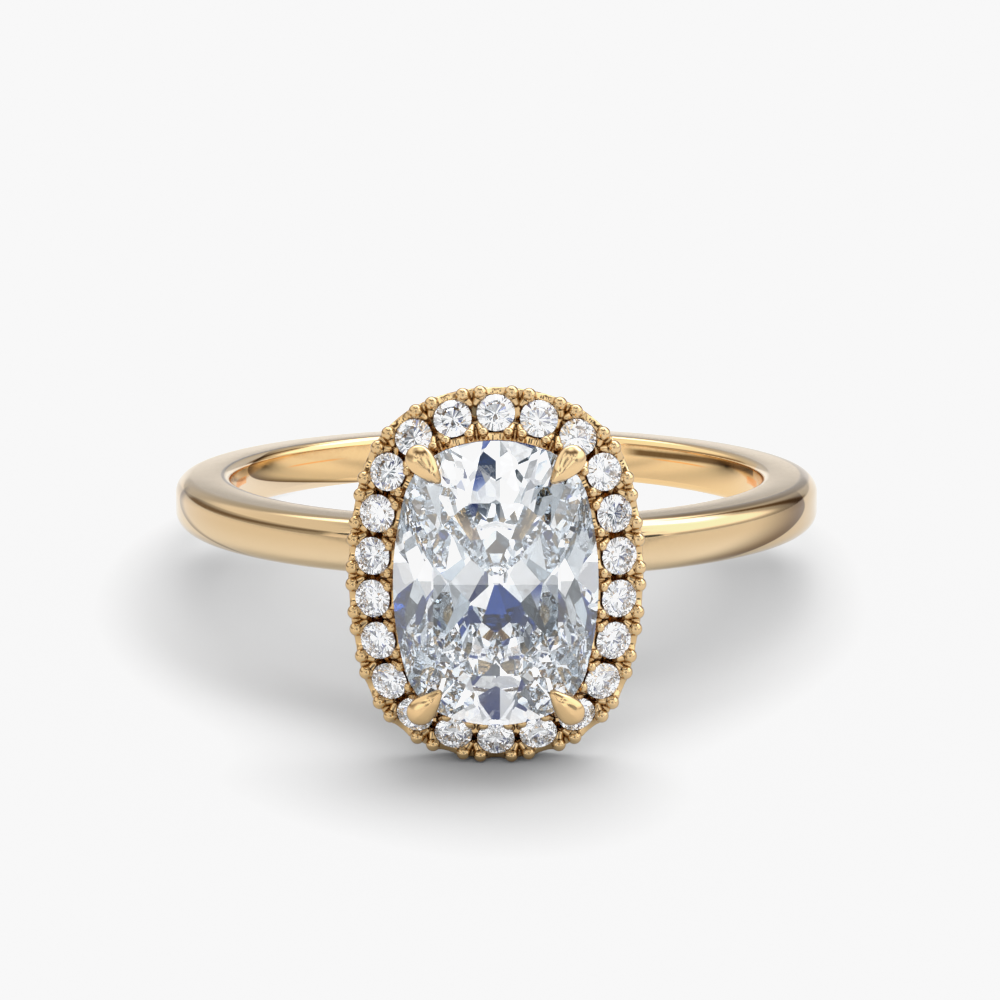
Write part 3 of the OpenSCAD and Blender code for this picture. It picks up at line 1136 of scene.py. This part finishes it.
for name, bead in (("outer_beads", OUTER_BEAD), ("inner_beads", INNER_BEAD)):
    bm = bmesh.new()
    for k in range(HALO_COUNT):
        fishtail(bm, on_path(k + 0.5), bead)
    finish_piece(name, bm, HEAD, halo_gold)

# %% [markdown]
# The V cuts
# The cut that splits a wall is a graver's: wide at the rim, narrow at the
# channel's floor. A wedge would leave sharp corners that catch the light like
# cracks, so a rounded cone cuts it. Then the whole channel is softened once.

# %% Notch and polish the channel
NOTCH_AT = 0.9
NOTCH_UP = 0.16
NOTCH_R = 0.15
NOTCH_END_R = 0.03
POLISH_CELL = 0.0425
POLISH_RUBS = 3
notches = bmesh.new()
for k in range(HALO_COUNT):
    spot = on_path(k + 0.5)
    for way in (-1, 1):
        bulb(notches, spot @ Vector((way * NOTCH_AT, 0, NOTCH_UP)), NOTCH_R,
             spot @ Vector((way * ROOT_AT, 0, 0)), NOTCH_END_R)
channel = softened(cut_away(channel, notches), POLISH_CELL, POLISH_RUBS)
finish_piece("halo_channel", channel, HEAD, halo_gold)

# %% [markdown]
# The claws
# Four claws hold the stone at its corners. Each starts as a round rod, rises
# beside the girdle, and is filed to a drop with a ridge along its back and a
# fine tip that presses on the crown. A scaled ball would miss the ridge, so the
# claw is lofted: many sections along its length, each with its own half width,
# rise and drop. A section is a pinched ellipse above, which gives the ridge, and
# a plain one below.

# %% A claw's sections
CLAW_SIDES = 48
RIDGE = 1.25
SHOULDER_AT = 0.68
TIP_ROUND = 0.09
HIGH_AT = 0.5
DEEP_AT = 0.6
TIP_HALF_W = 0.08
MORE_HALF_W = 0.28
WIDENING = 1.2
TIP_RISE = 0.1
MORE_RISE = 0.14
TIP_DROP = 0.09
MORE_DROP = 0.24


def claw_section(bm, place, a, half_width, high, low, centre_z):
    ring = []
    for k in range(CLAW_SIDES):
        t = toward(360 * k / CLAW_SIDES)
        sharp = RIDGE if t.y > 0 else 2
        y = half_width * math.copysign(abs(t.x) ** (2 / sharp), t.x)
        z = (high if t.y > 0 else low) * t.y
        ring.append(bm.verts.new(place @ Vector((a, y, centre_z + z))))
    return ring


def claw_shape(u):
    """Half width, rise and drop of the claw at a share of its length from the tip."""
    dome = math.sqrt(max(0.0, 1 - max(0.0, (u - SHOULDER_AT) / (1 - SHOULDER_AT)) ** 2))
    tip = math.sqrt(max(0.0, 1 - (1 - min(1.0, u / TIP_ROUND)) ** 2))
    swell = math.sin(math.pi / 2 * min(1.0, u / SHOULDER_AT))
    width = TIP_HALF_W + MORE_HALF_W * swell**WIDENING
    rise = TIP_RISE + MORE_RISE * math.sin(math.pi / 2 * min(1.0, u / HIGH_AT))
    drop = TIP_DROP + MORE_DROP * min(1.0, u / DEEP_AT)
    return width * dome * tip, rise * dome * tip, drop * dome * tip


print("half way along a claw is", round(2 * claw_shape(0.5)[0], 2), "mm wide")

# %% [markdown]
# Placing the claws
# A claw points at the stone's middle from where its corner faces it, and sinks a
# little toward its rod. It could be made once and turned, but the outline gives
# each its own place just as simply. Sections lie closer at both ends, because the
# shape changes fastest there.

# %% Loft the claws
CLAW_BASE_GROW = 0.24
CLAW_REACH = 0.53
TIP_PAST = 0.09
ROD_R = 0.33
CLAW_RINGS = 40
CLAW_Z = 1.4
CLAW_SINK = 0.2
SINK_FROM = 0.3


def claw(bm, turn):
    edge = outline(turn)
    d = toward(turn)
    place = Matrix.Translation((edge.x, edge.y, 0)) @ Matrix.Rotation(math.atan2(d.y, d.x), 4, "Z")
    start, end = -CLAW_REACH - TIP_PAST, CLAW_BASE_GROW + ROD_R
    rings = []
    for k in range(1, CLAW_RINGS):
        u = 0.5 - 0.5 * math.cos(math.pi * k / CLAW_RINGS)
        a = start + (end - start) * u
        middle = CLAW_Z - CLAW_SINK * max(0.0, u - SINK_FROM) / (1 - SINK_FROM)
        rings.append(claw_section(bm, place, a, *claw_shape(u), middle))
    for a, b in zip(rings, rings[1:]):
        for j in range(CLAW_SIDES):
            i = (j + 1) % CLAW_SIDES
            bm.faces.new((a[j], a[i], b[i], b[j]))
    bm.faces.new(rings[0][::-1])
    bm.faces.new(rings[-1])


claw_turns = [CLAW_TURN, 180 - CLAW_TURN, 180 + CLAW_TURN, -CLAW_TURN]
bm = bmesh.new()
for turn in claw_turns:
    claw(bm, turn)
finish_piece("claws", bm, HEAD, claw_gold)

# %% [markdown]
# The basket
# Under the stone the claws are plain rods. They run down inside the halo, bend
# at the gallery rail, and end on the band. Curves with a round bevel could draw
# them, but the bend needs a ball joint, so each stretch is a cone between two
# balls.

# %% The rods
RAIL_INSET = 0.84
RAIL_DROP = 1
BASE_UP = 0.2
FOOT_SPREAD = 1.5
FOOT_ACROSS = 0.72
FOOT_SINK = 0.5
BASE_SHARE = 0.98
FOOT_SHARE = 1.001
ROD_SIDES = 32
bm = bmesh.new()
for turn in claw_turns:
    d = toward(turn)
    base = outline(turn, CLAW_BASE_GROW).to_3d() + Vector((0, 0, GIRDLE_RISE + BASE_UP))
    elbow = outline(turn, -RAIL_INSET).to_3d() + Vector((0, 0, -RAIL_DROP))
    foot = Vector((math.copysign(FOOT_SPREAD / 2, d.x), math.copysign(FOOT_ACROSS / 2, d.y),
                   -HEAD_RISE - FOOT_SINK))
    bulb(bm, base, ROD_R * BASE_SHARE, elbow, ROD_R, sides=ROD_SIDES)
    bulb(bm, elbow, ROD_R, foot, ROD_R * FOOT_SHARE, sides=ROD_SIDES)
finish_piece("claw_rods", bm, HEAD, halo_gold)

# %% [markdown]
# The gallery rail
# A rail of square wire with rounded edges ties the rods together under the stone.
# A torus can't follow a cushion outline, so the rail's section is swept as the
# channel's is.

# %% The rail
RAIL_T = 0.5
RAIL_ROUND = 0.12
RAIL_STEPS = 4
rail_flat = RAIL_T / 2 - RAIL_ROUND
rail_section = []
for side, up, start in ((1, 1, 0), (-1, 1, 90), (-1, -1, 180), (1, -1, 270)):
    for k in range(RAIL_STEPS + 1):
        t = RAIL_ROUND * toward(start + 90 * k / RAIL_STEPS)
        rail_section.append((-path_grow - RAIL_INSET + side * rail_flat + t.x,
                             -RAIL_DROP + up * rail_flat + t.y))
finish_piece("gallery_rail", swept(rail_section), HEAD, halo_gold)

# %% [markdown]
# The table
# The ring lies on a matt white table, a plain disc. Its colour could be one
# white, but three things are painted on it. The ring's own shade is deeper than
# a soft tent gives, so a painted shadow makes it darker under and round the
# ring. A painted pool of light, mixed in as a glow, lies on each side of the
# hole's back. And a far grey ring is painted so that the polished sides mirror
# something darker below the horizon. Lengths here are in metres.

# %% Lay the table
FLOOR_R = 0.6
MATT_WHITE = (0.8, 0.8, 0.8, 1)
PAINTED_SHADOW_WHITE = (0.62, 0.62, 0.62, 1)
PAINTED_FAR_GREY = (0.47, 0.47, 0.47, 1)
SHADE_MIDDLE = (0, -0.001, 0)
SHADE_FADE = (0.0105, 0.007)
FAR_FADE = (0.112, 0.14)
POOL_LIGHT = 0.95
POOL_RIM = (0.0106, 0.0094)
POOL_SIDE = (0.0, 0.0035)
POOL_FRONT = (0.0, 0.0045)
floor_z = cad_box[0][2]
bm = bmesh.new()
bmesh.ops.create_circle(bm, cap_ends=True, segments=96, radius=FLOOR_R)
table = into_scene("table", bm)
table.location.z = floor_z

white = bpy.data.materials.new("matt_white")
n = Nodes(white)
spot = n.add("TexCoord", out=3)
away = n.add("VectorMath", {"operation": "LENGTH"}, {0: spot}, out=1)
under = n.add("VectorMath", {"operation": "DISTANCE"}, {0: spot, 1: SHADE_MIDDLE}, out=1)
# Painted shadow: the table is darker under and round the ring.
painted_shadow = n.mix(n.smooth(under, *SHADE_FADE), MATT_WHITE, PAINTED_SHADOW_WHITE)
paint = n.add(
    "BsdfPrincipled",
    {},
    {
        # The far grey is painted so that the polished sides mirror something darker below the
        # horizon.
        "Base Color": n.mix(n.smooth(away, *FAR_FADE), painted_shadow, PAINTED_FAR_GREY),
        "Roughness": 1.0,
        "Specular IOR Level": 0.0,
    },
)
# A painted pool of light: the table glows on each side of the hole's back.
glow = n.add("Emission", {}, {"Color": (1, 1, 1, 1), "Strength": POOL_LIGHT})
right, back, _ = n.parts(spot)
pool = n.smooth(away, *POOL_RIM) * n.smooth(abs(right), *POOL_SIDE)
pool = pool * n.smooth(back, *POOL_FRONT)
both = n.add("MixShader", {}, {0: pool, 1: paint, 2: glow})
n.add("OutputMaterial", {}, {"Surface": both})
table.data.materials.append(white)
print("table at", round(floor_z / MM, 3), "mm")

# %% [markdown]
# The light tent
# Jewellery is lit in a white tent with a few panels. Real lamps and cloth could
# be built, but a mirror only needs to know what lies in each direction. So the
# tent is painted on the world by bearing and height in degrees, where a bearing
# of 0 is behind the ring, 90 is right of it and 180 is at the camera. A panel is
# its bearing, half its width, its foot, its top and the softness of its edge. In
# the list the light that it adds comes last.

# %% Directions and panels
world = bpy.data.worlds.new("light_tent")
bpy.context.scene.world = world
n = Nodes(world)
x, y, z = n.parts(n.add("TexCoord", out=0))
height = z.math("ARCSINE") * (180 / math.pi)
bearing = x.math("ARCTAN2", y) * (180 / math.pi)


def from_bearing(turn):
    return (bearing - turn + 540).math("MODULO", 360) - 180


def panel(turn, half_wide, low, high, soft):
    across = n.smooth(half_wide - abs(from_bearing(turn)), -soft, soft)
    return across * n.smooth(height, low - soft, low + soft) * n.smooth(high - height, -soft, soft)


TENT_LIGHT = 0.6
PANELS = {
    "over and behind": (20, 58, 40, 67, 8, 2.9),
    "roof": (0, 200, 78, 95, 8, 1.1),
    "right wall": (95, 36, 8, 58, 6, 1.0),
    "left wall": (-85, 50, 16, 58, 8, 0.5),
    "front right": (145, 20, 8, 42, 5, 1.2),
    "front left": (-150, 20, 8, 42, 5, 1.2),
    "shade over the camera": (180, 75, 46, 78, 6, -0.5),
}
level = TENT_LIGHT
for *size, light in PANELS.values():
    level = level + panel(*size) * light
print("panels:", ", ".join(PANELS))

# %% [markdown]
# Dark cards
# Photographers hang dark cards in a white tent, because polished metal without
# dark lines looks like chalk. They could be objects, but they would also throw
# shade. Two are painted: an upright one behind at the right, and a sloping one
# at the left.

# %% Two cards
UPRIGHT_CARD = (41, 6, -10, 50, 4)
UPRIGHT_DARK = 0.75
SLOPED_BEARING = -80
SLOPED_HALF_WIDE = 44
SLOPED_UP = 10
SLOPED_SLOPE = -0.19
SLOPED_HALF_HIGH = 6
SLOPED_SOFT = 4
SLOPED_DARK = 0.55


def sloped_card():
    off = from_bearing(SLOPED_BEARING)
    line = height - SLOPED_UP - off * SLOPED_SLOPE
    across = n.smooth(SLOPED_HALF_WIDE - abs(off), -SLOPED_SOFT, SLOPED_SOFT)
    return across * n.smooth(SLOPED_HALF_HIGH - abs(line), -SLOPED_SOFT, SLOPED_SOFT)


level = level * (1 - panel(*UPRIGHT_CARD) * UPRIGHT_DARK)
level = level * (1 - sloped_card() * SLOPED_DARK)
print("cards at", UPRIGHT_CARD[0], "and", SLOPED_BEARING, "degrees")

# %% [markdown]
# The front of the tent
# A cut stone looks back at the camera's side and breaks it into shards of white,
# grey and blue. A photograph of a room would give them, but no picture is used
# here. So the tent's front is a woven pattern of bright and dark cells, and a
# blue-black card stands for the lens. Dark gaps are cool there and warm
# elsewhere, as gold that mirrors gold is.

# %% Cells, lens and colour
FRONT = (180, 62, -8, 62, 4)
CELL_WIDE = 34
CELL_HIGH = 26
CELL_FADE = (-0.3, -0.12)
GAP_LIGHT = 0.1
CELL_LIGHT = 1.35
LENS_CARD = (176, 15, 4, 36, 2)
LENS_DARK = 0.6
WARM_FADE = (0.1, 0.55)
WARM_DARK = (1, 0.66, 0.38, 1)
COOL_DARK = (0.72, 0.87, 1, 1)
LENS_BLUE = (0.05, 0.2, 1.2, 1)
front = panel(*FRONT)
rows = (height * (2 * math.pi / CELL_HIGH)).math("SINE")
weave = (bearing * (2 * math.pi / CELL_WIDE)).math("SINE") * rows
cells = n.smooth(weave, *CELL_FADE)
level = level * (1 - front) + front * (GAP_LIGHT + cells * CELL_LIGHT)
lens_card = panel(*LENS_CARD)
level = level * (1 - lens_card * cells * LENS_DARK)
tone = n.mix(n.smooth(level, *WARM_FADE), WARM_DARK, (1, 1, 1, 1))
tone = n.mix(front * (1 - cells), tone, COOL_DARK)
tone = n.mix(lens_card * (1 - cells), tone, LENS_BLUE)
backdrop = n.add("Background", {}, {"Color": tone, "Strength": level})
n.add("OutputWorld", {}, {"Surface": backdrop})
print("light tent ready")

# %% [markdown]
# The camera
# A wide lens close by would swell the head, so a jewellery photographer stands
# back with a long one, a little above the table. The place comes from matching
# the ellipses of the photograph's band, and is in millimetres.

# %% Set the camera
CAMERA_AT = Vector((0.11, -78.96, 29.26))
CAMERA_PITCH = 20.45
FOCAL_LENGTH = 97.0
SENSOR_W = 36.0
lens = bpy.data.cameras.new("camera")
lens.lens = FOCAL_LENGTH
lens.sensor_width = SENSOR_W
lens.clip_start = 0.001
lens.clip_end = 10
camera = bpy.data.objects.new("camera", lens)
camera.location = CAMERA_AT * MM
camera.rotation_euler = (math.radians(90 - CAMERA_PITCH), 0, 0)
bpy.context.scene.collection.objects.link(camera)
bpy.context.scene.camera = camera
print("camera at", tuple(round(c, 4) for c in camera.location))

# %% [markdown]
# Film and bounces
# The picture has a nearly white table that isn't burnt out, and highlights that
# are. A filmic view would grey both, so the plain view is used with a curve of
# its own: it lifts the light greys, holds the table just under white, and lets
# only brighter spots reach white. Light also has to bounce many times inside a
# cut stone, or its facets go black, so the limits on bounces are raised.

# %% The film's curve and the light's paths
WHITE_LEVEL = 2
BOUNCES, MIRROR_BOUNCES, CLEAR_BOUNCES = 40, 36, 16
FILM_CURVE = ((0.5, 0.53), (0.76, 0.83), (0.86, 0.933), (1.15, 0.942), (1.4, 1.0))
film = bpy.context.scene.view_settings
film.view_transform = "Standard"
film.use_curve_mapping = True
film.curve_mapping.white_level = (WHITE_LEVEL, WHITE_LEVEL, WHITE_LEVEL)
for light_in, shown in FILM_CURVE:
    stop = film.curve_mapping.curves[3].points.new(light_in / WHITE_LEVEL, shown)
    stop.handle_type = "VECTOR"
film.curve_mapping.update()
light_paths = bpy.context.scene.cycles
light_paths.max_bounces = BOUNCES
light_paths.glossy_bounces = MIRROR_BOUNCES
light_paths.transmission_bounces = CLEAR_BOUNCES
light_paths.caustics_reflective = False
light_paths.caustics_refractive = False
print("bounces:", BOUNCES)
